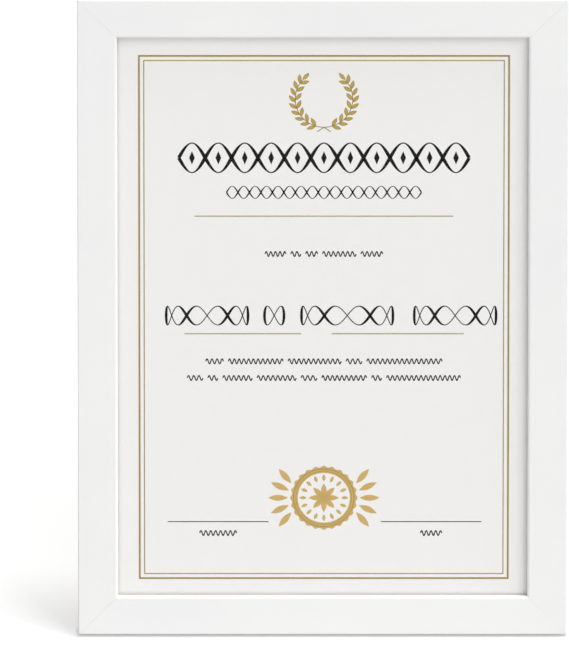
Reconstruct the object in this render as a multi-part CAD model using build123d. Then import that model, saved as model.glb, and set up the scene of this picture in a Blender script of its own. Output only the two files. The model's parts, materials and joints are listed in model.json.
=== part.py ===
from build123d import *
import os
from math import cos, degrees, radians, sin, sqrt, tan

# Certificate frame for one A4 sheet, standing on an easel strut.
# Each piece is drawn with the frame upright: X runs to the right as seen from the front, Y runs
# backwards from the rails' back plane, and Z runs up from the frame's lower edge. The whole frame
# then leans back about the lower back edge of the bottom rail, which stays on the ground.

# Certificate sheet
SHEET_WIDTH = 210.0
SHEET_HEIGHT = 297.0
SHEET_THICKNESS = 0.3

# Layers behind the lip, and their room in the rebate
PANE_THICKNESS = 1.0
PRINT_GAP = 0.1          # air between the pane and the sheet
CARD_THICKNESS = 3.0     # corrugated
BOARD_THICKNESS = 3.0
SHEET_CLEARANCE = 1.0    # sheet edge to rebate wall
PANEL_CLEARANCE = 0.5    # pane, card and board edge to rebate wall

# Moulding section
RAIL_WIDTH = 20.0        # outer edge to sight edge
LIP_OVERLAP = 3.0        # cover over the sheet's edge
LIP_DEPTH = 2.8          # front face to pane
WALL_SPREAD = 0.2        # how far the inner wall leans towards the sheet
OUTER_ROUND = 0.7
INNER_ROUND = 1.4
MITRE_GAP = 0.05         # glue line between two rails

# V-nails across the mitres
NAIL_LEG = 5.0
NAIL_THICKNESS = 0.6
NAIL_HEIGHT = 6.0
NAIL_EDGE = 3.5          # solid wood left at each side of the nails
NAIL_SINK = 0.3          # how far the nails lie below the back plane
NAIL_CLEARANCE = 0.02

# Turn buttons and their screws
BUTTON_INSET = 84.5      # frame's upper or lower edge to a button
BUTTON_EDGE = 6.0        # screw axis to rebate wall
BUTTON_ROUND = 5.0       # radius at the screw
BUTTON_TIP = 3.0         # radius at the tip
BUTTON_REACH = 9.5       # screw axis to the tip's centre
BUTTON_THICKNESS = 1.2
RIB_INSET = 1.2          # rib end to the tip's edge
RIB_LENGTH = 6.0
RIB_WIDTH = 2.4
RIB_HEIGHT = 0.6
SCREW_RADIUS = 1.5
SCREW_DEPTH = 8.0        # shank in the rail
SCREW_HEAD_RADIUS = 3.0
SCREW_HEAD_HEIGHT = 1.7
SCREW_HEAD_BEVEL = 0.8
CROSS_LENGTH = 3.0
CROSS_WIDTH = 0.7
CROSS_DEPTH = 0.9
SCREW_PLAY = 0.08        # round the shank and under the head
PILOT_CLEARANCE = 0.02

# Stance
LEAN_ANGLE = 12.0        # frame from the vertical
STRUT_ANGLE = 20.0       # open strut from the frame's back

# Easel strut
STRUT_THICKNESS = 3.0
STRUT_TOP_WIDTH = 44.0
STRUT_FOOT_WIDTH = 64.0
STRUT_TOP_ROUND = 8.0
STRUT_FOOT_ROUND = 3.0
STRUT_GAP = 0.6          # folded strut to the frame's back
STRUT_TOP_DROP = 2.8     # hinge axis to the strut's top edge
ARCH_WIDTH = 34.0
ARCH_RISE = 6.0

# Strut hinge
HINGE_DROP = 95.0        # board's top edge to the hinge axis
PIN_RADIUS = 1.0
PIN_HEAD_RADIUS = 1.5
PIN_HEAD_LENGTH = 0.6
BORE_CLEARANCE = 0.03
LEAF_THICKNESS = 0.8
LEAF_WIDTH = 32.0
LEAF_LENGTH = 26.0
LEAF_ROUND = 5.0
MIDDLE_BARREL = 12.0
BARREL_GAP = 0.2
NOTCH_CLEARANCE = 0.5
STOP_REACH = 4.0
STOP_GAP = 0.05

# Rivets
RIVET_RADIUS = 1.5
RIVET_HEAD_RADIUS = 3.0
RIVET_HEAD_HEIGHT = 0.9
RIVET_HEAD_BEVEL = 0.6
RIVET_CLEARANCE = 0.02
RIVET_SPACING = 17.0
RIVET_DROP = 15.0        # hinge axis to the rivets

# Wall hanger
HANGER_DROP = 20.0       # board's top edge to the ring's axis
STRAP_WIDTH = 9.0
STRAP_LENGTH = 13.0
STRAP_RIVET_DROP = 7.5   # ring's axis to the rivet
WIRE_RADIUS = 1.0
WIRE_SIDES = 8
WIRE_CLEARANCE = 0.08
RING_WIDTH = 20.0
RING_HEIGHT = 20.0
RING_CORNER_ROUND = 2.4
RING_TIP_ROUND = 5.0
RING_END_GAP = 0.6       # butt joint of the wire, inside the strap's eye

# Sizes that follow
rebate_width = LIP_OVERLAP + SHEET_CLEARANCE
solid_back = RAIL_WIDTH - rebate_width
frame_width = SHEET_WIDTH - 2 * LIP_OVERLAP + 2 * RAIL_WIDTH
frame_height = SHEET_HEIGHT - 2 * LIP_OVERLAP + 2 * RAIL_WIDTH
panel_width = SHEET_WIDTH + 2 * (SHEET_CLEARANCE - PANEL_CLEARANCE)
panel_height = SHEET_HEIGHT + 2 * (SHEET_CLEARANCE - PANEL_CLEARANCE)
card_front = -BOARD_THICKNESS - CARD_THICKNESS
sheet_front = card_front - SHEET_THICKNESS
pane_front = sheet_front - PRINT_GAP - PANE_THICKNESS
rail_depth = LIP_DEPTH - pane_front
board_top = (frame_height + panel_height) / 2
hinge_height = board_top - HINGE_DROP
hanger_height = board_top - HANGER_DROP
barrel_radius = PIN_RADIUS + BORE_CLEARANCE + LEAF_THICKNESS
strut_outer = STRUT_GAP + STRUT_THICKNESS
hinge_offset = strut_outer + LEAF_THICKNESS - barrel_radius
eye_radius = WIRE_RADIUS + WIRE_CLEARANCE + LEAF_THICKNESS


def box(x_range, y_range, z_range):
    """Block between two values along each axis."""
    low = Vector(x_range[0], y_range[0], z_range[0])
    high = Vector(x_range[1], y_range[1], z_range[1])
    size = high - low
    return Pos(*((low + high) / 2)) * Box(size.X, size.Y, size.Z)


def rod(radius, y_range):
    """Cylinder along Y."""
    length = y_range[1] - y_range[0]
    return Pos(0, sum(y_range) / 2, 0) * Rot(90, 0, 0) * Cylinder(radius, length)


def barrel(radius, length):
    """Cylinder along X."""
    return Rot(0, 90, 0) * Cylinder(radius, length)


def near(vertex, y, z):
    return abs(vertex.Y - y) < 1e-6 and abs(vertex.Z - z) < 1e-6


def moulding_section():
    """Rail section in the YZ plane: outer edge at Z = 0, back plane at Y = 0."""
    front = -rail_depth
    lip_back = front + LIP_DEPTH
    face_end = RAIL_WIDTH - WALL_SPREAD
    corners = [
        (0, 0),
        (front, 0),
        (front, face_end),
        (lip_back, RAIL_WIDTH),
        (lip_back, solid_back),
        (0, solid_back),
    ]
    outline = Polyline(*[(0, y, z) for y, z in corners], close=True)
    section = make_face(outline)
    for y, z, radius in ((front, 0, OUTER_ROUND), (front, face_end, INNER_ROUND)):
        corner = [v for v in section.vertices() if near(v, y, z)]
        section = fillet(corner, radius)
    return section


def nail(corner_inset, growth, top):
    """V-nail with its legs along two rails that meet at the corner (0, 0), grown all round."""
    low = corner_inset - growth
    leg_end = corner_inset + NAIL_LEG + growth
    inner = corner_inset + NAIL_THICKNESS + growth
    depth = (-NAIL_SINK - NAIL_HEIGHT - growth, top)
    along_rail = box((low, leg_end), depth, (low, inner))
    along_stile = box((low, inner), depth, (low, leg_end))
    return along_rail + along_stile


def at_all_corners(growth, top):
    """V-nails, or the slots that they leave, at all four corners of the upright frame."""
    insets = (NAIL_EDGE, solid_back - NAIL_EDGE - NAIL_LEG)
    left_low = [Pos(-frame_width / 2, 0, 0) * nail(inset, growth, top) for inset in insets]
    low = left_low + [mirror(solid, Plane.YZ) for solid in left_low]
    middle = Plane.XY.offset(frame_height / 2)
    return low + [mirror(solid, middle) for solid in low]


def corner_nails():
    return at_all_corners(0, -NAIL_SINK)


def nail_slots():
    """Cutters for the slots, open at the back plane."""
    return at_all_corners(NAIL_CLEARANCE, NAIL_SINK)


def button_places():
    """Place of each turn button, as a name and a location whose Z points at the frame's middle."""
    side = frame_width / 2 - solid_back + BUTTON_EDGE
    lower = BUTTON_INSET
    upper = frame_height - BUTTON_INSET
    return {
        "turn_button_left_lower": Pos(-side, 0, lower) * Rot(0, 90, 0),
        "turn_button_left_upper": Pos(-side, 0, upper) * Rot(0, 90, 0),
        "turn_button_right_lower": Pos(side, 0, lower) * Rot(0, -90, 0),
        "turn_button_right_upper": Pos(side, 0, upper) * Rot(0, -90, 0),
    }


def turn_button():
    """Swivel button on the back plane, with its screw hole on the Y axis and its tip along +Z."""
    outline = make_hull((Circle(BUTTON_ROUND) + Pos(0, -BUTTON_REACH) * Circle(BUTTON_TIP)).edges())
    plate = extrude(outline, BUTTON_THICKNESS)
    rib_middle = RIB_LENGTH / 2 + RIB_INSET - BUTTON_REACH - BUTTON_TIP
    rib_outline = Pos(0, rib_middle) * Rot(0, 0, 90) * SlotOverall(RIB_LENGTH, RIB_WIDTH)
    plate += extrude(rib_outline, BUTTON_THICKNESS + RIB_HEIGHT)
    plate -= Cylinder(SCREW_RADIUS + SCREW_PLAY, 4 * BUTTON_THICKNESS)
    return Rot(-90, 0, 0) * plate


def screw():
    """Pan-head screw along Y, with its head behind the turn button."""
    seat = BUTTON_THICKNESS + SCREW_PLAY
    crown = seat + SCREW_HEAD_HEIGHT
    body = rod(SCREW_RADIUS, (-SCREW_DEPTH, seat))
    head = rod(SCREW_HEAD_RADIUS, (seat, crown))
    body += chamfer(head.edges().sort_by(Axis.Y)[-1], SCREW_HEAD_BEVEL)
    half = CROSS_LENGTH / 2
    depth = (crown - CROSS_DEPTH, crown)
    body -= box((-half, half), depth, (-CROSS_WIDTH / 2, CROSS_WIDTH / 2))
    body -= box((-CROSS_WIDTH / 2, CROSS_WIDTH / 2), depth, (-half, half))
    return body


def pilot_hole():
    """Cutter for the hole that a screw leaves in a rail."""
    return rod(SCREW_RADIUS + PILOT_CLEARANCE, (-SCREW_DEPTH, BUTTON_THICKNESS))


def rail(length):
    """Mitred length of moulding along X, with its outer edge at Z = 0."""
    bar = extrude(moulding_section(), length / 2, dir=(1, 0, 0), both=True)
    half = length / 2 - MITRE_GAP / sqrt(2)
    plan = Polyline(
        (-half, 0, 0),
        (half, 0, 0),
        (half - RAIL_WIDTH, 0, RAIL_WIDTH),
        (RAIL_WIDTH - half, 0, RAIL_WIDTH),
        close=True,
    )
    mitre = extrude(make_face(plan), rail_depth, dir=(0, -1, 0))
    return bar & mitre


def rails():
    """The four rails in the upright frame, with their nail slots and screw holes."""
    middle = frame_height / 2
    pieces = {
        "bottom_rail": rail(frame_width),
        "top_rail": Pos(0, 0, frame_height) * Rot(0, 180, 0) * rail(frame_width),
        "left_stile": Pos(-frame_width / 2, 0, middle) * Rot(0, 90, 0) * rail(frame_height),
        "right_stile": Pos(frame_width / 2, 0, middle) * Rot(0, -90, 0) * rail(frame_height),
    }
    cutters = nail_slots()
    cutters += [place * pilot_hole() for place in button_places().values()]
    return {name: piece - cutters for name, piece in pieces.items()}


def panel(width, height, front, back):
    """Flat layer centred in the rebate."""
    low = (frame_height - height) / 2
    return box((-width / 2, width / 2), (front, back), (low, low + height))


def rivet(grip):
    """Rivet along Y, with its head on the plane Y = 0 and its tail set flush at the far side."""
    rim = RIVET_HEAD_RADIUS
    profile = Polyline(
        (0, -grip),
        (RIVET_RADIUS, -grip),
        (RIVET_RADIUS, 0),
        (rim, 0),
        (rim, RIVET_HEAD_HEIGHT - RIVET_HEAD_BEVEL),
        (rim - RIVET_HEAD_BEVEL, RIVET_HEAD_HEIGHT),
        (0, RIVET_HEAD_HEIGHT),
        close=True,
    )
    return revolve(make_face(profile), Axis.Y)


def rivet_hole(grip):
    """Cutter for a rivet's hole."""
    return rod(RIVET_RADIUS + RIVET_CLEARANCE, (-grip, RIVET_HEAD_HEIGHT))


def hinge_rivet_places(height, outer):
    """Places of a leaf's two rivets, on the plane at Y = outer."""
    return [Pos(side * RIVET_SPACING / 2, outer, height) for side in (-1, 1)]


def leaf_plate(y_low, z_start, direction):
    """Hinge leaf from Z = z_start, with its far corners rounded."""
    far = hinge_height + direction * LEAF_LENGTH
    z_range = sorted((z_start, far))
    plate = box((-LEAF_WIDTH / 2, LEAF_WIDTH / 2), (y_low, y_low + LEAF_THICKNESS), z_range)
    corners = plate.edges().filter_by(Axis.Y).sort_by(lambda e: direction * e.center().Z)[-2:]
    return fillet(corners, LEAF_ROUND)


def hinge_board_leaf():
    """Fixed leaf: a plate on the board, bent out to the two outer barrels."""
    half_gap = MIDDLE_BARREL / 2 + BARREL_GAP
    outer_length = LEAF_WIDTH / 2 - half_gap
    bend_low = hinge_height + barrel_radius - LEAF_THICKNESS
    bend_high = hinge_height + barrel_radius
    leaf = leaf_plate(0, bend_low, 1)
    notch_top = bend_high + NOTCH_CLEARANCE
    leaf -= box((-half_gap, half_gap), (-1, LEAF_THICKNESS + 1), (bend_low - 1, notch_top))
    for side in (-1, 1):
        x_range = sorted((side * half_gap, side * LEAF_WIDTH / 2))
        leaf += box(x_range, (0, hinge_offset), (bend_low, bend_high))
        middle = side * (half_gap + outer_length / 2)
        leaf += Pos(middle, hinge_offset, hinge_height) * barrel(barrel_radius, outer_length)
    leaf -= Pos(0, hinge_offset, hinge_height) * barrel(PIN_RADIUS + BORE_CLEARANCE, 2 * LEAF_WIDTH)
    for place in hinge_rivet_places(hinge_height + RIVET_DROP, LEAF_THICKNESS):
        leaf -= place * rivet_hole(LEAF_THICKNESS + BOARD_THICKNESS)
    return leaf


def hinge_strut_leaf():
    """Moving leaf with the strut folded: plate on the strut, middle barrel and stop tongue."""
    half_middle = MIDDLE_BARREL / 2
    shoulder = hinge_height - barrel_radius - NOTCH_CLEARANCE
    outer = strut_outer + LEAF_THICKNESS
    leaf = leaf_plate(strut_outer, shoulder, -1)
    leaf += box((-half_middle, half_middle), (strut_outer, outer), (shoulder, hinge_height))
    axis = Pos(0, hinge_offset, hinge_height)
    leaf += axis * barrel(barrel_radius, MIDDLE_BARREL)
    stop_low = LEAF_THICKNESS + STOP_GAP
    stop_top = hinge_height + barrel_radius + NOTCH_CLEARANCE + STOP_REACH
    tongue = box(
        (-half_middle, half_middle),
        (stop_low, stop_low + LEAF_THICKNESS),
        (hinge_height, stop_top),
    )
    leaf += about_hinge(-STRUT_ANGLE) * tongue
    leaf -= axis * barrel(PIN_RADIUS + BORE_CLEARANCE, 2 * MIDDLE_BARREL)
    for place in hinge_rivet_places(hinge_height - RIVET_DROP, outer):
        leaf -= place * rivet_hole(LEAF_THICKNESS + STRUT_THICKNESS)
    return leaf


def hinge_pin():
    """Pin with a peened head at each end."""
    shank = LEAF_WIDTH + 2 * PIN_HEAD_LENGTH
    pin = barrel(PIN_RADIUS, shank)
    for side in (-1, 1):
        head_x = side * (LEAF_WIDTH + PIN_HEAD_LENGTH) / 2
        pin += Pos(head_x, 0, 0) * barrel(PIN_HEAD_RADIUS, PIN_HEAD_LENGTH)
    return Pos(0, hinge_offset, hinge_height) * pin


def about_hinge(angle):
    """Turn about the hinge axis; a positive angle opens the strut."""
    axis = Pos(0, hinge_offset, hinge_height)
    return axis * Rot(angle, 0, 0) * axis.inverse()


def easel_strut():
    """Tapered leg with the strut folded; its foot is cut to lie flat on the ground when open."""
    foot_angle = STRUT_ANGLE - LEAN_ANGLE
    drop = hinge_height * cos(radians(LEAN_ANGLE)) - hinge_offset * sin(radians(LEAN_ANGLE))
    reach = drop / cos(radians(foot_angle))
    allowance = STRUT_THICKNESS * tan(radians(abs(foot_angle))) + STRUT_FOOT_ROUND
    top = hinge_height - STRUT_TOP_DROP
    foot = hinge_height - reach
    end = foot - allowance
    half_top = STRUT_TOP_WIDTH / 2
    half_foot = STRUT_FOOT_WIDTH / 2
    outline = Polyline(
        (-half_foot, 0, end),
        (half_foot, 0, end),
        (half_top, 0, top),
        (-half_top, 0, top),
        close=True,
    )
    strut = Pos(0, STRUT_GAP, 0) * extrude(make_face(outline), STRUT_THICKNESS, dir=(0, 1, 0))
    corners = strut.edges().filter_by(Axis.Y).sort_by(Axis.Z)[-2:]
    strut = fillet(corners, STRUT_TOP_ROUND)
    ground = Plane(
        origin=(0, hinge_offset, foot),
        z_dir=(0, sin(radians(foot_angle)), cos(radians(foot_angle))),
    )
    strut = split(strut, bisect_by=ground, keep=Keep.TOP)
    foot_corners = strut.edges().filter_by(lambda e: abs(e.center().X) > half_top).sort_by(Axis.Z)
    foot_corners = [e for e in foot_corners[:6] if abs(e.tangent_at(0.5).Y) > 0.9]
    strut = fillet(foot_corners, STRUT_FOOT_ROUND)
    arch_radius = (ARCH_WIDTH**2 / 4 + ARCH_RISE**2) / (2 * ARCH_RISE)
    arch = rod(arch_radius, (0, 2 * strut_outer))
    strut -= Pos(0, 0, foot + ARCH_RISE - arch_radius) * arch
    for place in hinge_rivet_places(hinge_height - RIVET_DROP, strut_outer + LEAF_THICKNESS):
        strut -= place * rivet_hole(LEAF_THICKNESS + STRUT_THICKNESS)
    return strut


def back_board():
    """Hardboard back with the holes of its rivets."""
    board = panel(panel_width, panel_height, -BOARD_THICKNESS, 0)
    grip = LEAF_THICKNESS + BOARD_THICKNESS
    places = hinge_rivet_places(hinge_height + RIVET_DROP, LEAF_THICKNESS)
    places.append(Pos(0, LEAF_THICKNESS, hanger_height - STRAP_RIVET_DROP))
    for place in places:
        board -= place * rivet_hole(grip)
    return board


def hanger_strap():
    """Strap on the board, rolled into an eye round the ring's straight side."""
    low = hanger_height - STRAP_LENGTH
    half = STRAP_WIDTH / 2
    strap = box((-half, half), (0, LEAF_THICKNESS), (low, hanger_height))
    ends = strap.edges().filter_by(Axis.Y).sort_by(Axis.Z)[:2]
    strap = fillet(ends, STRAP_WIDTH / 3)
    axis = Pos(0, eye_radius, hanger_height)
    strap += axis * barrel(eye_radius, STRAP_WIDTH)
    strap -= axis * barrel(WIRE_RADIUS + WIRE_CLEARANCE, 2 * STRAP_WIDTH)
    place = Pos(0, LEAF_THICKNESS, hanger_height - STRAP_RIVET_DROP)
    return strap - place * rivet_hole(LEAF_THICKNESS + BOARD_THICKNESS)


def hanger_ring():
    """Triangular ring of faceted wire that hangs plumb from the strap's eye when the frame leans."""
    half = RING_WIDTH / 2
    gap = RING_END_GAP / 2
    path = FilletPolyline(
        (gap, 0, 0),
        (half, 0, 0),
        (0, 0, -RING_HEIGHT),
        (-half, 0, 0),
        (-gap, 0, 0),
        radius=[RING_CORNER_ROUND, RING_TIP_ROUND, RING_CORNER_ROUND],
    )
    wire = Part()
    for edge in path.edges():
        section = Plane(edge @ 0, x_dir=(0, 1, 0), z_dir=edge % 0) * RegularPolygon(WIRE_RADIUS, WIRE_SIDES)
        if edge.geom_type == GeomType.LINE:
            wire += extrude(section, edge.length, dir=edge % 0)
        else:
            spoke = edge @ 0 - edge.arc_center
            bend_axis = Axis(edge.arc_center, spoke.cross(edge % 0))
            wire += revolve(section, bend_axis, degrees(edge.length / edge.radius))
    return Pos(0, eye_radius, hanger_height) * Rot(LEAN_ANGLE, 0, 0) * wire


def frame_pieces():
    """Every piece with the frame upright and the strut open."""
    pieces = rails()
    pieces["corner_v_nails"] = Part() + corner_nails()
    pieces["glazing_pane"] = panel(panel_width, panel_height, pane_front, pane_front + PANE_THICKNESS)
    pieces["certificate_sheet"] = panel(SHEET_WIDTH, SHEET_HEIGHT, sheet_front, card_front)
    pieces["filler_card"] = panel(panel_width, panel_height, card_front, -BOARD_THICKNESS)
    pieces["back_board"] = back_board()

    places = button_places()
    for name, place in places.items():
        pieces[name] = place * turn_button()
    pieces["turn_button_screws"] = Part() + [place * screw() for place in places.values()]

    board_grip = LEAF_THICKNESS + BOARD_THICKNESS
    board_places = hinge_rivet_places(hinge_height + RIVET_DROP, LEAF_THICKNESS)
    pieces["hinge_board_leaf"] = hinge_board_leaf()
    pieces["hinge_pin"] = hinge_pin()
    pieces["hinge_board_rivets"] = Part() + [place * rivet(board_grip) for place in board_places]

    opened = about_hinge(STRUT_ANGLE)
    strut_grip = LEAF_THICKNESS + STRUT_THICKNESS
    strut_places = hinge_rivet_places(hinge_height - RIVET_DROP, strut_outer + LEAF_THICKNESS)
    pieces["hinge_strut_leaf"] = opened * hinge_strut_leaf()
    pieces["easel_strut"] = opened * easel_strut()
    strut_rivets = [opened * place * rivet(strut_grip) for place in strut_places]
    pieces["hinge_strut_rivets"] = Part() + strut_rivets

    pieces["hanger_strap"] = hanger_strap()
    pieces["hanger_ring"] = hanger_ring()
    hanger_place = Pos(0, LEAF_THICKNESS, hanger_height - STRAP_RIVET_DROP)
    pieces["hanger_rivet"] = hanger_place * rivet(board_grip)
    return pieces


def stance(pieces):
    """Lean of the frame, with the origin on the ground under the middle of its box."""
    lean = Rot(-LEAN_ANGLE, 0, 0)
    leaned = Compound(children=[lean * piece for piece in pieces.values()])
    return Pos(0, -leaned.bounding_box().center().Y, 0) * lean


upright = frame_pieces()
standing = stance(upright)
os.makedirs("parts", exist_ok=True)
for node, piece in upright.items():
    export_step(standing * piece, f"parts/{node}.step")
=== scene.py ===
import json
import math

import bpy
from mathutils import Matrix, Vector


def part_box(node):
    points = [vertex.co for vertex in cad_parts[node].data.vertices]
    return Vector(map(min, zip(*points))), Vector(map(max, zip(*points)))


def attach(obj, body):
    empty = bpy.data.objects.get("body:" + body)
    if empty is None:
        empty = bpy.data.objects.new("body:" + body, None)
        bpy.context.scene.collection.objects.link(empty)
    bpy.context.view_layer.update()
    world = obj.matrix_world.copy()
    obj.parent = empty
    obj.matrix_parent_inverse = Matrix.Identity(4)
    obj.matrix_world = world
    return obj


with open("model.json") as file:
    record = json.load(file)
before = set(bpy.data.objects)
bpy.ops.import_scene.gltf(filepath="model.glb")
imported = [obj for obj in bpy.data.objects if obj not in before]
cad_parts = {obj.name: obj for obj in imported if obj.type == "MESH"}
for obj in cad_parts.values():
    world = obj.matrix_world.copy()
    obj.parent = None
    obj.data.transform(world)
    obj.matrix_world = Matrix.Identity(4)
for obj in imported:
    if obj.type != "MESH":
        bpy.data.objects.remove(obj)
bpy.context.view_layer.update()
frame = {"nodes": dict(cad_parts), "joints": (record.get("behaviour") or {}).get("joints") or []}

# Certificate frame: materials for the CAD pieces, the print on the sheet, light and camera.
# Print sizes are in mm from the middle of the print, with x to the right and y up.
MM = 0.001

# Directions of the leaning frame, from the axis that the turn buttons turn about
turn_axis = next(j["axis"] for j in frame["joints"] if j["name"].startswith("turn_"))
BACK = Vector(turn_axis).normalized()
RIGHT = Vector((1, 0, 0))
UP = Vector((0, -BACK.z, BACK.y))
FRONT = -BACK


def reach(node, direction):
    """Lowest and highest place of a CAD node along a direction, in metres."""
    places = [v.co.dot(direction) for v in frame["nodes"][node].data.vertices]
    return min(places), max(places)


def colour(red, green, blue):
    """Screen colour from 0 to 255, as a linear colour by the sRGB curve."""
    linear = []
    for value in (red, green, blue):
        share = value / 255
        linear.append(share / 12.92 if share <= 0.04045 else ((share + 0.055) / 1.055) ** 2.4)
    return (*linear, 1.0)


class Material:
    """Procedural material with one main surface."""

    def __init__(self, name):
        self.block = bpy.data.materials.new(name)
        self.block.use_nodes = True
        self.nodes = self.block.node_tree.nodes
        self.surface = self.nodes["Principled BSDF"]
        self.output = self.nodes["Material Output"]
        self.place = self.nodes.new("ShaderNodeTexCoord")

    def put(self, socket, value):
        """Link a node's output to a socket, or set a constant on it."""
        if isinstance(value, bpy.types.NodeSocket):
            self.block.node_tree.links.new(value, socket)
        else:
            socket.default_value = value

    def look(self, **values):
        """Set sockets of the main surface by name."""
        for name, value in values.items():
            self.put(self.surface.inputs[name.replace("_", " ").title().replace("Ior", "IOR")], value)

    def stretched(self, size, stretch):
        """Place on the object, counted in steps of size metres, longer along a stretched axis."""
        mapping = self.nodes.new("ShaderNodeMapping")
        self.put(mapping.inputs["Vector"], self.place.outputs["Object"])
        mapping.inputs["Scale"].default_value = [1 / (size * s) for s in stretch]
        return mapping.outputs["Vector"]

    def noise(self, size, detail=3.0, stretch=(1, 1, 1)):
        """Noise whose spots are about size metres across, longer along a stretched axis."""
        texture = self.nodes.new("ShaderNodeTexNoise")
        self.put(texture.inputs["Vector"], self.stretched(size, stretch))
        texture.inputs["Scale"].default_value = 1.0
        texture.inputs["Detail"].default_value = detail
        return texture.outputs["Fac"]

    def cells(self, size):
        """Grey value of cells that are about size metres across."""
        texture = self.nodes.new("ShaderNodeTexVoronoi")
        self.put(texture.inputs["Vector"], self.stretched(size, (1, 1, 1)))
        texture.inputs["Scale"].default_value = 1.0
        grey = self.nodes.new("ShaderNodeRGBToBW")
        self.put(grey.inputs["Color"], texture.outputs["Color"])
        return grey.outputs["Val"]

    def spread(self, factor, low, high, start=0.3, end=0.7):
        """Number from low to high while the factor runs from start to end, a noise's usual range."""
        ranged = self.nodes.new("ShaderNodeMapRange")
        self.put(ranged.inputs["Value"], factor)
        for name, value in (("From Min", start), ("From Max", end), ("To Min", low), ("To Max", high)):
            ranged.inputs[name].default_value = value
        return ranged.outputs["Result"]

    def between(self, factor, low, high):
        """Colour from low to high as the factor goes from 0 to 1."""
        mix = self.nodes.new("ShaderNodeMix")
        mix.data_type = "RGBA"
        self.put(mix.inputs[0], factor)
        self.put(mix.inputs[6], low)
        self.put(mix.inputs[7], high)
        return mix.outputs[2]

    def facing(self, direction, limit):
        """1 where the cosine between the surface's normal and the direction is over the limit, else 0."""
        dot = self.nodes.new("ShaderNodeVectorMath")
        dot.operation = "DOT_PRODUCT"
        self.put(dot.inputs[0], self.place.outputs["Normal"])
        dot.inputs[1].default_value = direction
        return self.math("GREATER_THAN", dot.outputs["Value"], limit)

    def math(self, operation, first, second):
        """Result of one step of arithmetic."""
        node = self.nodes.new("ShaderNodeMath")
        node.operation = operation
        self.put(node.inputs[0], first)
        self.put(node.inputs[1], second)
        return node.outputs["Value"]

    def bump(self, height, depth):
        """Small relief, depth metres deep."""
        relief = self.nodes.new("ShaderNodeBump")
        self.put(relief.inputs["Height"], height)
        relief.inputs["Distance"].default_value = depth
        self.look(normal=relief.outputs["Normal"])


# Moulding
CLOUD_SIZE = 60 * MM           # faint clouds in the white
FIBRE_SIZE = 0.7 * MM
FIBRE_STRETCH = (3, 1, 1)
FOIL_GRAIN = 0.8 * MM
FOIL_RELIEF = 0.006 * MM
FOIL_ROUGHNESS = (0.4, 0.5)
BARE_LIMIT = 0.9               # least cosine to the way back at which the fibreboard is bare


def white_moulding():
    """White satin foil, with bare fibreboard on the back."""
    material = Material("white_moulding")
    cloud = material.spread(material.noise(CLOUD_SIZE), 0, 1)
    foil = material.between(cloud, colour(240, 240, 240), colour(243, 243, 242))
    fibre = material.spread(material.noise(FIBRE_SIZE, stretch=FIBRE_STRETCH), 0, 1)
    bare = material.between(fibre, colour(163, 132, 98), colour(190, 161, 124))
    back = material.facing(BACK, BARE_LIMIT)
    material.look(base_color=material.between(back, foil, bare))
    grain = material.noise(FOIL_GRAIN)
    material.look(roughness=material.spread(grain, *FOIL_ROUGHNESS))
    material.bump(grain, FOIL_RELIEF)
    return material.block


# Pane
PANE_TINT = (0.99, 0.99, 0.989, 1)
PANE_INDEX = 1.2               # index of the pane's mirror, low because the ink behind it looks deep black
PANE_ROUGHNESS = (0.02, 0.06)
SMUDGE_SIZE = 25 * MM
MIRROR_LIMIT = 0.5             # least cosine to the way front at which the pane mirrors


def clear_acrylic():
    """Clear pane: it lets light through, and its front mirrors a little when seen from outside."""
    material = Material("clear_acrylic")
    nodes = material.nodes
    nodes.remove(material.surface)
    through = nodes.new("ShaderNodeBsdfTransparent")
    through.inputs["Color"].default_value = PANE_TINT
    mirror = nodes.new("ShaderNodeBsdfGlossy")
    smudge = material.noise(SMUDGE_SIZE)
    material.put(mirror.inputs["Roughness"], material.spread(smudge, *PANE_ROUGHNESS))
    fresnel = nodes.new("ShaderNodeFresnel")
    fresnel.inputs["IOR"].default_value = PANE_INDEX
    inside = nodes.new("ShaderNodeNewGeometry").outputs["Backfacing"]
    share = material.math("MULTIPLY", fresnel.outputs["Fac"], material.math("SUBTRACT", 1.0, inside))
    share = material.math("MULTIPLY", share, material.facing(FRONT, MIRROR_LIMIT))
    mix = nodes.new("ShaderNodeMixShader")
    material.put(mix.inputs[0], share)
    material.put(mix.inputs[1], through.outputs["BSDF"])
    material.put(mix.inputs[2], mirror.outputs["BSDF"])
    material.put(material.output.inputs["Surface"], mix.outputs["Shader"])
    return material.block


# Steel parts
CRYSTAL_SIZE = 1.6 * MM
SCRATCH_SIZE = 0.3 * MM
SCRATCH_STRETCH = (1, 1, 6)
SCRATCH_RELIEF = 0.003 * MM
ZINC_ROUGHNESS = (0.26, 0.4)


def zinc_steel():
    """Zinc plate with faint crystal cells."""
    material = Material("zinc_steel")
    cell = material.cells(CRYSTAL_SIZE)
    material.look(base_color=material.between(cell, colour(190, 192, 196), colour(214, 216, 218)))
    material.look(metallic=1.0)
    scratches = material.noise(SCRATCH_SIZE, stretch=SCRATCH_STRETCH)
    material.look(roughness=material.spread(scratches, *ZINC_ROUGHNESS))
    material.bump(scratches, SCRATCH_RELIEF)
    return material.block


# Boards, paper and inks, each in flecks between two shades
ROUGHNESS_SPREAD = 0.05


def flecked(name, low, high, size, roughness, relief, metallic=0.0, shine=0.5):
    """Material whose colour runs between two shades in flecks of one size."""
    material = Material(name)
    fleck = material.noise(size)
    material.look(base_color=material.between(material.spread(fleck, 0, 1), low, high))
    rough = material.spread(fleck, roughness - ROUGHNESS_SPREAD, roughness + ROUGHNESS_SPREAD)
    material.look(roughness=rough)
    material.look(metallic=metallic, specular_ior_level=shine)
    material.bump(fleck, relief)
    return material.block


def gold(name, low, high):
    """Gold ink between two shades."""
    return flecked(name, low, high, size=0.6 * MM, roughness=0.42, relief=0.004 * MM, metallic=0.15)


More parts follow.
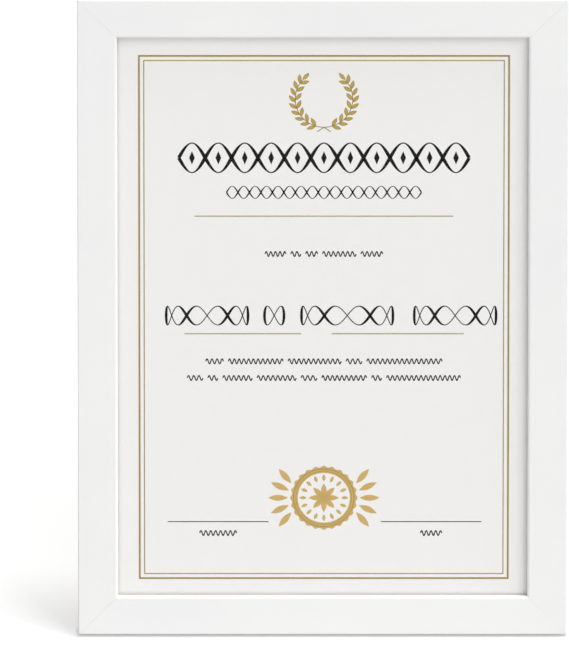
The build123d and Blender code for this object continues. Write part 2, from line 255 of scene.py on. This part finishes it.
def black(name, low, high):
    """Dull dark ink between two shades."""
    return flecked(name, low, high, size=0.3 * MM, roughness=0.6, relief=0.004 * MM, shine=0.1)


certificate_paper = flecked(
    "certificate_paper", colour(243, 242, 240), colour(246, 245, 243),
    size=0.5 * MM, roughness=0.75, relief=0.008 * MM,
)
grey_card = flecked(
    "grey_card", colour(168, 166, 160), colour(188, 186, 180),
    size=0.6 * MM, roughness=0.85, relief=0.02 * MM,
)
hardboard = flecked(
    "hardboard", colour(116, 82, 54), colour(140, 102, 70),
    size=1.2 * MM, roughness=0.5, relief=0.02 * MM,
)
strut_board = flecked(
    "strut_board", colour(30, 30, 31), colour(44, 44, 45),
    size=0.5 * MM, roughness=0.55, relief=0.02 * MM,
)
gold_print = gold("gold_print", colour(198, 164, 92), colour(210, 177, 106))
gold_line = gold("gold_line", colour(146, 124, 52), colour(162, 138, 64))
gold_leaf = gold("gold_leaf", colour(184, 152, 58), colour(198, 166, 72))
dark_print = black("dark_print", colour(10, 10, 9), colour(22, 22, 20))
grey_print = black("grey_print", colour(24, 24, 22), colour(38, 38, 36))

# Materials of the CAD pieces: all that aren't named here are steel
node_materials = {
    "glazing_pane": clear_acrylic(),
    "certificate_sheet": certificate_paper,
    "filler_card": grey_card,
    "back_board": hardboard,
    "easel_strut": strut_board,
}
moulding = white_moulding()
for name in ("top_rail", "bottom_rail", "left_stile", "right_stile"):
    node_materials[name] = moulding
steel = zinc_steel()
for name, piece in frame["nodes"].items():
    piece.data.materials.clear()
    piece.data.materials.append(node_materials.get(name, steel))

# Print on the sheet
INK_LIFT = 0.02                 # ink above the paper
INK_LAYER = 0.02                # one layer of ink above another
PRINT_SHIFT = (0.55, -0.85)     # print's middle from the sheet's middle

sheet_low, sheet_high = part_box("certificate_sheet")
sheet_middle = (sheet_low + sheet_high) / 2
sheet_front = reach("certificate_sheet", BACK)[0]
print_origin = sheet_middle + BACK * (sheet_front - sheet_middle.dot(BACK))


def on_sheet(x, y, lift):
    """Place of a point of the print, lifted off the paper."""
    right, up = x + PRINT_SHIFT[0], y + PRINT_SHIFT[1]
    return print_origin + (RIGHT * right + UP * up + FRONT * lift) * MM


def area(outline):
    """Signed area of a closed outline, positive when it runs counter-clockwise."""
    total = 0.0
    for (x0, y0), (x1, y1) in zip(outline, outline[1:] + outline[:1]):
        total += (x0 * y1 - x1 * y0) / 2
    return total


def printed(name, outlines, material, layer=0):
    """Flat ink on the sheet, one face for each closed outline."""
    corners, faces = [], []
    for outline in outlines:
        if area(outline) < 0:
            outline = outline[::-1]
        faces.append(range(len(corners), len(corners) + len(outline)))
        corners += [on_sheet(x, y, INK_LIFT + layer * INK_LAYER) for x, y in outline]
    mesh = bpy.data.meshes.new(name)
    mesh.from_pydata(corners, [], faces)
    mesh.materials.append(material)
    piece = bpy.data.objects.new(name, mesh)
    bpy.context.scene.collection.objects.link(piece)
    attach(piece, "frame")


def bar(x, y, length, thickness):
    """Rectangle round a middle."""
    half, rise = length / 2, thickness / 2
    return [(x - half, y - rise), (x + half, y - rise), (x + half, y + rise), (x - half, y + rise)]


def stroke(points, widths):
    """Pen stroke along points, as one face between each two of them."""
    edges = []
    last = len(points) - 1
    for i, (x, y) in enumerate(points):
        x0, y0 = points[max(i - 1, 0)]
        x1, y1 = points[min(i + 1, last)]
        length = math.hypot(x1 - x0, y1 - y0)
        side_x, side_y = (y0 - y1) / length, (x1 - x0) / length
        half = widths[i] / 2
        edges.append(((x + side_x * half, y + side_y * half), (x - side_x * half, y - side_y * half)))
    return [[a, b, d, c] for (a, b), (c, d) in zip(edges, edges[1:])]


LEAF_STEPS = 7


def leaf(x, y, angle, length, width):
    """Lens-shaped leaf from its base, pointing along the angle."""
    along = (math.cos(angle), math.sin(angle))
    upper, lower = [], []
    for i in range(LEAF_STEPS + 1):
        share = i / LEAF_STEPS
        half = width / 2 * math.sin(math.pi * share)
        base_x = x + along[0] * length * share
        base_y = y + along[1] * length * share
        upper.append((base_x - along[1] * half, base_y + along[0] * half))
        lower.append((base_x + along[1] * half, base_y - along[0] * half))
    return upper + lower[-2:0:-1]


def mirrored(outlines):
    """The outlines with left and right exchanged."""
    return [[(-x, y) for x, y in outline] for outline in outlines]


# Double border
BORDER_WIDTH = 184.5
BORDER_HEIGHT = 273.4
THICK_LINE = 0.9
THIN_LINE = 0.5
THIN_INSET = 2.6


def border_line(width, height, thickness):
    """Rectangular line as four mitred strips."""
    x, y = width / 2, height / 2
    inner_x, inner_y = x - thickness, y - thickness
    return [
        [(-x, -y), (x, -y), (inner_x, -inner_y), (-inner_x, -inner_y)],
        [(x, -y), (x, y), (inner_x, inner_y), (inner_x, -inner_y)],
        [(x, y), (-x, y), (-inner_x, inner_y), (inner_x, inner_y)],
        [(-x, y), (-x, -y), (-inner_x, -inner_y), (-inner_x, inner_y)],
    ]


border = border_line(BORDER_WIDTH, BORDER_HEIGHT, THICK_LINE)
border += border_line(BORDER_WIDTH - 2 * THIN_INSET, BORDER_HEIGHT - 2 * THIN_INSET, THIN_LINE)
printed("print_border", border, gold_line)

# Laurel: two mirrored branches that cross at the foot
LAUREL_MIDDLE = 113.9
LAUREL_HALF_WIDTH = 14.3
LAUREL_HALF_HEIGHT = 14.65
LAUREL_END = math.radians(132)
LAUREL_TAIL = (3.4, 96.85)    # end of the left branch's stem, past the crossing
FIRST_LEAF = math.radians(16)
LAST_LEAF = math.radians(123)
OUTER_LEAVES = 9
OUTER_SPREAD = math.radians(34)
INNER_LEAVES = 7
INNER_SPREAD = math.radians(43)
LEAF_LENGTH = 5.0
LEAF_WIDTH = 2.0
LEAF_EDGE = 0.3               # darker rim of a leaf
TIP_EDGE = 2                  # how many times wider the rim is at the leaf's tips
STEM_WIDTH = 0.45
STEM_STEPS = 32


def stem(turn):
    """Point of the left branch, turned from the foot of the laurel."""
    return (-LAUREL_HALF_WIDTH * math.sin(turn), LAUREL_MIDDLE - LAUREL_HALF_HEIGHT * math.cos(turn))


def stem_angle(turn):
    """Direction in which the left branch grows."""
    return math.atan2(LAUREL_HALF_HEIGHT * math.sin(turn), -LAUREL_HALF_WIDTH * math.cos(turn))


def laurel_stem():
    """Stem of the left branch."""
    points = [LAUREL_TAIL]
    points += [stem(LAUREL_END * i / STEM_STEPS) for i in range(STEM_STEPS + 1)]
    return stroke(points, [STEM_WIDTH] * len(points))


def laurel_leaves(inset):
    """Leaves of the left branch, drawn smaller by an inset."""
    places = [(LAUREL_END, 0)]
    for count, spread in ((OUTER_LEAVES, OUTER_SPREAD), (INNER_LEAVES, -INNER_SPREAD)):
        for i in range(count):
            places.append((FIRST_LEAF + (LAST_LEAF - FIRST_LEAF) * i / (count - 1), spread))
    shapes = []
    tip = TIP_EDGE * inset
    for turn, spread in places:
        x, y = stem(turn)
        angle = stem_angle(turn) + spread
        x += tip * math.cos(angle)
        y += tip * math.sin(angle)
        shapes.append(leaf(x, y, angle, LEAF_LENGTH - 2 * tip, LEAF_WIDTH - 2 * inset))
    return shapes


branch = laurel_stem() + laurel_leaves(0)
printed("print_laurel", branch + mirrored(branch), gold_line)
leaf_fill = laurel_leaves(LEAF_EDGE)
printed("print_laurel_fill", leaf_fill + mirrored(leaf_fill), gold_leaf, layer=1)

# Heading: a band of two crossing waves with a lozenge in each cell
HEADING_Y = 83.35
HEADING_WIDTH = 144.2
HEADING_HEIGHT = 16.0
HEADING_CELLS = 11
BAND_THIN = 0.6
BAND_THICK = 1.8
LOZENGE_WIDTH = 2.8
LOZENGE_HEIGHT = 7.0
WAVE_STEPS = 12               # for each cell of a wave


def lozenge(x, y, width, height):
    """Upright lozenge round a middle."""
    return [(x - width / 2, y), (x, y - height / 2), (x + width / 2, y), (x, y + height / 2)]


def wave(x, y, length, rise, cells, thin, thick, sign=1):
    """Wave stroke, thick where it crosses the middle and thin at its crests."""
    steps = WAVE_STEPS * cells
    points, widths = [], []
    for i in range(steps + 1):
        turn = math.pi * cells * i / steps
        points.append((x - length / 2 + length * i / steps, y + sign * rise * math.sin(turn)))
        widths.append(thin + (thick - thin) * math.cos(turn) ** 2)
    return stroke(points, widths)


def heading_band():
    """Both waves and the row of lozenges."""
    rise = (HEADING_HEIGHT - BAND_THIN) / 2
    shapes = []
    for sign in (-1, 1):
        shapes += wave(0, HEADING_Y, HEADING_WIDTH, rise, HEADING_CELLS, BAND_THIN, BAND_THICK, sign)
    pitch = HEADING_WIDTH / HEADING_CELLS
    for i in range(HEADING_CELLS):
        x = (i - (HEADING_CELLS - 1) / 2) * pitch
        shapes.append(lozenge(x, HEADING_Y, LOZENGE_WIDTH, LOZENGE_HEIGHT))
    return shapes


printed("print_heading_band", heading_band(), dark_print)

# Second line: a finer chain
CHAIN_Y = 65.4
CHAIN_WIDTH = 96.8
CHAIN_HEIGHT = 6.4
CHAIN_CELLS = 17
CHAIN_THIN = 0.35
CHAIN_THICK = 0.75
chain = []
for sign in (-1, 1):
    chain += wave(0, CHAIN_Y, CHAIN_WIDTH, CHAIN_HEIGHT / 2, CHAIN_CELLS, CHAIN_THIN, CHAIN_THICK, sign)
printed("print_heading_chain", chain, dark_print)

# Thin gold rules, each a middle and a length
RULE_THICKNESS = 0.5
GOLD_RULES = ((0.0, 53.0, 128.4), (-40.3, -8.3, 58.1), (36.8, -8.3, 65.8))
gold_rules = [bar(x, y, length, RULE_THICKNESS) for x, y, length in GOLD_RULES]
printed("print_gold_rules", gold_rules, gold_line)

# Small lines of writing, drawn as plain waves: the height of each line and the lengths of its words
SMALL_LINES = (
    (33.3, (10.3, 4.9, 5.9, 16.6, 10.8)),
    (-22.7, (8.8, 27.2, 26.4, 7.8, 37.4)),
    (-31.4, (7.8, 4.9, 14.6, 19.4, 7.8, 22.3, 4.9, 36.8)),
)
WORD_GAP = 2.5
WRITING_HEIGHT = 2.55
WRITING_PITCH = 1.2
WRITING_PEN = 0.6


def word(x, y, length):
    """Word round a middle, as a wave of even strokes."""
    cells = round(length / WRITING_PITCH)
    return wave(x, y, length, WRITING_HEIGHT / 2, cells, WRITING_PEN, WRITING_PEN)


def writing(y, lengths):
    """Centred line of words."""
    x = -(sum(lengths) + WORD_GAP * (len(lengths) - 1)) / 2
    shapes = []
    for length in lengths:
        shapes += word(x + length / 2, y, length)
        x += length + WORD_GAP
    return shapes


small_lines = []
for line in SMALL_LINES:
    small_lines += writing(*line)
printed("print_small_lines", small_lines, grey_print)

# Pen flourish: four knots, each a middle, a length and an even number of loops
FLOURISH_Y = 1.2
FLOURISH_KNOTS = ((-58.1, 40.7, 6), (-24.7, 9.7, 2), (11.6, 45.5, 6), (65.3, 40.7, 6))
KNOT_HEIGHT = 9.8
KNOT_STEPS = 40               # for each loop
PEN_THIN = 0.5
PEN_THICK = 1.35


def flourish(x, length, loops):
    """Closed knot drawn with a broad pen, thicker where the pen goes down."""
    steps = KNOT_STEPS * loops
    points, widths = [], []
    for i in range(steps + 1):
        turn = 2 * math.pi * i / steps
        rise = KNOT_HEIGHT / 2 * math.sin(loops * turn)
        points.append((x + length / 2 * math.sin(turn), FLOURISH_Y + rise))
        widths.append(PEN_THIN + (PEN_THICK - PEN_THIN) * max(0.0, -math.cos(loops * turn)))
    return stroke(points, widths)


pen = []
for knot in FLOURISH_KNOTS:
    pen += flourish(*knot)
printed("print_pen_flourish", pen, dark_print)

# Gold seal: a scalloped ring round a star, with a sprig at each side
SEAL_Y = -94.1
SEAL_RADIUS = 16.8
SEAL_INSIDE = 13.0
SEAL_SCALLOPS = 24
SEAL_WAVE = 0.9
SCALLOP_STEPS = 8             # for each scallop
SEAL_LINES = ((15.1, 0.4), (13.9, 0.25))     # radius and thickness
RING_STEPS = 72
STAR_POINTS = 8
STAR_LENGTH = 7.6
STAR_WIDTH = 2.8
RAYS = 16
RAY_START = 8.6
RAY_LENGTH = 3.7
RAY_WIDTH = 1.7
SPRIG_LEANS = (-50, -25, 0, 25, 50)          # degrees
SPRIG_GAP = 1.0
SPRIG_REACH = 27.8
SPRIG_WIDTH = 3.2


def scalloped_ring():
    """Ring with a scalloped rim round the seal's middle, as short strips."""
    steps = SCALLOP_STEPS * SEAL_SCALLOPS
    rims = []
    for i in range(steps + 1):
        turn = 2 * math.pi * i / steps
        rim = SEAL_RADIUS - SEAL_WAVE / 2 * (1 - math.cos(SEAL_SCALLOPS * turn))
        rims.append([(r * math.cos(turn), SEAL_Y + r * math.sin(turn)) for r in (SEAL_INSIDE, rim)])
    return [[a, b, d, c] for (a, b), (c, d) in zip(rims, rims[1:])]


def ring(radius, thickness):
    """Circular line round the seal's middle."""
    turns = [2 * math.pi * i / RING_STEPS for i in range(RING_STEPS + 1)]
    points = [(radius * math.cos(t), SEAL_Y + radius * math.sin(t)) for t in turns]
    return stroke(points, [thickness] * len(points))


def rays(count, start, length, width):
    """Leaves that point away from the seal's middle."""
    turns = [2 * math.pi * i / count for i in range(count)]
    return [leaf(start * math.cos(t), SEAL_Y + start * math.sin(t), t, length, width) for t in turns]


def sprig():
    """Leaves at the seal's right."""
    shapes = []
    start = SEAL_RADIUS + SPRIG_GAP
    for lean in SPRIG_LEANS:
        turn = math.radians(lean)
        x = start * math.cos(turn / 2)
        y = SEAL_Y + start * math.sin(turn / 2)
        shapes.append(leaf(x, y, turn, SPRIG_REACH - start, SPRIG_WIDTH))
    return shapes


seal = scalloped_ring() + rays(STAR_POINTS, 0, STAR_LENGTH, STAR_WIDTH)
seal += rays(RAYS, RAY_START, RAY_LENGTH, RAY_WIDTH)
leaves = sprig()
printed("print_seal", seal + leaves + mirrored(leaves), gold_print)
seal_lines = []
for line in SEAL_LINES:
    seal_lines += ring(*line)
printed("print_seal_lines", seal_lines, gold_line, layer=1)

# Signature rules and the short marks under them
SIGNATURE_Y = -106.6
SIGNATURE_LENGTH = 50.3
SIGNATURE_LINE = 0.45
MARK_DROP = 6.0
SIGNATURES = ((-52.7, 18.4), (53.5, 10.6))     # middle of a rule and length of the mark under it
signature = []
for x, mark_length in SIGNATURES:
    signature.append(bar(x, SIGNATURE_Y, SIGNATURE_LENGTH, SIGNATURE_LINE))
    signature += word(x, SIGNATURE_Y - MARK_DROP, mark_length)
printed("print_signature_rules", signature, grey_print)

# Floor and light
FLOOR_SIZE = 12.0
FLOOR_GRAIN = 5 * MM
FLOOR_GREYS = (206, 208)
FLOOR_ROUGHNESS = 0.9
FLOOR_WHITE = 0.56                # added to the lit floor, so that it shows as white, and cut near the frame as painted contact shade
PAINTED_SHADE_REACH = 2 * MM            # how far the painted contact shade under the frame's edge runs out
SKY_LEVEL = 0.72
SKY_SIDE = (0.2, -0.6, -0.65)     # how much brighter the sky is towards the right, the back and the top
KEY_LEVEL = 1.3
KEY_ANGLE = math.radians(11)
KEY_AZIMUTH = math.radians(111)
KEY_ELEVATION = math.radians(72)
FILL_LEVEL = 1.15
FILL_ANGLE = math.radians(30)
FILL_AZIMUTH = math.radians(55)
FILL_ELEVATION = math.radians(48)


def seen_directly(nodes, links):
    """1 for rays from the camera, from mirrors and through glass, else 0."""
    path = nodes.new("ShaderNodeLightPath")
    total = path.outputs["Is Camera Ray"]
    for name in ("Is Glossy Ray", "Is Transmission Ray"):
        larger = nodes.new("ShaderNodeMath")
        larger.operation = "MAXIMUM"
        links.new(total, larger.inputs[0])
        links.new(path.outputs[name], larger.inputs[1])
        total = larger.outputs["Value"]
    return total


def floor():
    """White floor that keeps the shadow, with painted contact shade where its white lift is cut by ambient
    occlusion near the frame.
    """
    mesh = bpy.data.meshes.new("floor")
    half = FLOOR_SIZE / 2
    corners = [(-half, -half, 0), (half, -half, 0), (half, half, 0), (-half, half, 0)]
    mesh.from_pydata(corners, [], [(0, 1, 2, 3)])
    material = Material("floor")
    grain = material.spread(material.noise(FLOOR_GRAIN), 0, 1)
    low, high = [colour(grey, grey, grey) for grey in FLOOR_GREYS]
    material.look(base_color=material.between(grain, low, high))
    material.look(roughness=FLOOR_ROUGHNESS, specular_ior_level=0.0)
    # Painted contact shade: the white lift is cut by ambient occlusion, so the floor darkens under the
    # frame's edge
    painted_shade_ao = material.nodes.new("ShaderNodeAmbientOcclusion")
    painted_shade_ao.inputs["Distance"].default_value = PAINTED_SHADE_REACH
    seen = seen_directly(material.nodes, material.block.node_tree.links)
    lift = material.math("MULTIPLY", painted_shade_ao.outputs["AO"], FLOOR_WHITE)
    lift = material.math("MULTIPLY", seen, lift)
    material.look(emission_color=(1, 1, 1, 1), emission_strength=lift)
    mesh.materials.append(material.block)
    piece = bpy.data.objects.new("floor", mesh)
    bpy.context.scene.collection.objects.link(piece)


def sky():
    """Soft white light, stronger from the right and the front, and a white background."""
    world = bpy.data.worlds.new("studio")
    world.use_nodes = True
    nodes, links = world.node_tree.nodes, world.node_tree.links
    place = nodes.new("ShaderNodeTexCoord")
    side = nodes.new("ShaderNodeVectorMath")
    side.operation = "DOT_PRODUCT"
    links.new(place.outputs["Generated"], side.inputs[0])
    side.inputs[1].default_value = [SKY_LEVEL * share for share in SKY_SIDE]
    light = nodes.new("ShaderNodeMath")
    light.operation = "ADD"
    links.new(side.outputs["Value"], light.inputs[0])
    light.inputs[1].default_value = SKY_LEVEL
    level = nodes.new("ShaderNodeMix")
    links.new(seen_directly(nodes, links), level.inputs["Factor"])
    links.new(light.outputs["Value"], level.inputs["A"])
    level.inputs["B"].default_value = 1.0
    links.new(level.outputs["Result"], nodes["Background"].inputs["Strength"])
    nodes["Background"].inputs["Color"].default_value = (1, 1, 1, 1)
    bpy.context.scene.world = world


def lamp(name, level, angle, azimuth, elevation):
    """Distant light that is angle wide; azimuth 0 is at the front and 90 degrees at the right."""
    data = bpy.data.lights.new(name, "SUN")
    data.energy = level
    data.angle = angle
    piece = bpy.data.objects.new(name, data)
    bpy.context.scene.collection.objects.link(piece)
    flat = math.cos(elevation)
    towards = Vector((math.sin(azimuth) * flat, -math.cos(azimuth) * flat, math.sin(elevation)))
    piece.rotation_mode = "QUATERNION"
    piece.rotation_quaternion = towards.to_track_quat("Z", "Y")


# Camera: the photo's size and the place of the frame in it, in pixels
PHOTO_HEIGHT = 650
PHOTO_MIDDLE = (284.5, 325.0)
FRAME_MIDDLE = (322.8, 318.6)
FRAME_PIXELS = 490.5
CAMERA_ELEVATION = math.radians(29.6)
LENS = 1400.0
SENSOR = 36.0


def camera():
    """Long lens, turned down at the leaning frame."""
    low, high = reach("bottom_rail", RIGHT)
    scale = (high - low) / FRAME_PIXELS
    front = reach("top_rail", FRONT)[1]
    top = reach("top_rail", UP)[1]
    bottom = reach("bottom_rail", UP)[0]
    middle = FRONT * front + UP * (top + bottom) / 2
    data = bpy.data.cameras.new("camera")
    data.lens = LENS
    data.sensor_fit = "VERTICAL"
    data.sensor_height = SENSOR
    data.sensor_width = SENSOR
    back = Vector((0, -math.cos(CAMERA_ELEVATION), math.sin(CAMERA_ELEVATION)))
    up = Vector((0, math.sin(CAMERA_ELEVATION), math.cos(CAMERA_ELEVATION)))
    aim = middle - RIGHT * (FRAME_MIDDLE[0] - PHOTO_MIDDLE[0]) * scale
    aim -= up * (PHOTO_MIDDLE[1] - FRAME_MIDDLE[1]) * scale
    distance = PHOTO_HEIGHT * scale * LENS / SENSOR
    eye = bpy.data.objects.new("camera", data)
    bpy.context.scene.collection.objects.link(eye)
    eye.location = aim + back * distance
    eye.rotation_mode = "QUATERNION"
    eye.rotation_quaternion = back.to_track_quat("Z", "Y")
    data.clip_end = 2 * distance
    bpy.context.scene.camera = eye


floor()
sky()
lamp("key", KEY_LEVEL, KEY_ANGLE, KEY_AZIMUTH, KEY_ELEVATION)
lamp("fill", FILL_LEVEL, FILL_ANGLE, FILL_AZIMUTH, FILL_ELEVATION)
camera()
bpy.context.scene.view_settings.view_transform = "Standard"
